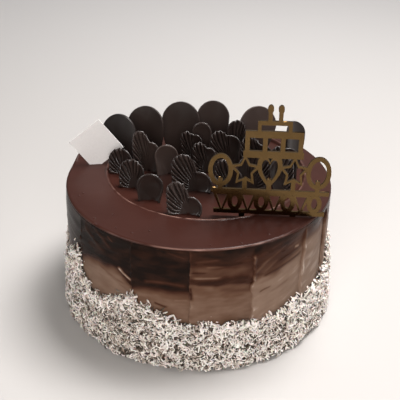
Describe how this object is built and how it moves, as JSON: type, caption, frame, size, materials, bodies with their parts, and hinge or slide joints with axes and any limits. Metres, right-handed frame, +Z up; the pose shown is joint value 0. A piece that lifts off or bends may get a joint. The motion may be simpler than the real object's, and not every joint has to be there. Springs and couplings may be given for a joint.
{
  "type": "chocolate coconut cake",
  "caption": "Round uncut chocolate cake with a coconut foot, upright ruffled chocolate fans and petals, a blank card and a gilt openwork topper.",
  "frame": {"origin": "middle of the cake's flat underside, where it rests", "axes": "+Z up, -Y towards the side that the topper faces, +X to the right seen from there"},
  "size_m": [0.213, 0.2134, 0.1854],
  "materials": {
    "frosting": "chocolate frosting under a poured chocolate glaze, glossy on top and streaked on the side",
    "coconut": "dry shredded coconut, cream to grey-brown",
    "chocolate": "dark chocolate, satin, scraped thin",
    "card": "smooth white card",
    "gilt": "gold mirror film on a cut sheet"
  },
  "bodies": {
    "root": {"cake": "frosting", "fan_01": "chocolate", "fan_02": "chocolate", "fan_03": "chocolate", "fan_04": "chocolate", "fan_05": "chocolate", "fan_06": "chocolate", "fan_07": "chocolate", "fan_08": "chocolate", "fan_09": "chocolate", "fan_10": "chocolate", "fan_11": "chocolate", "fan_12": "chocolate", "fan_13": "chocolate", "fan_14": "chocolate", "fan_15": "chocolate", "fan_16": "chocolate", "fan_17": "chocolate", "petal_01": "chocolate", "petal_02": "chocolate", "petal_03": "chocolate", "petal_04": "chocolate", "petal_05": "chocolate", "petal_06": "chocolate", "card": "card", "topper": "gilt"}
  },
  "joints": []
}
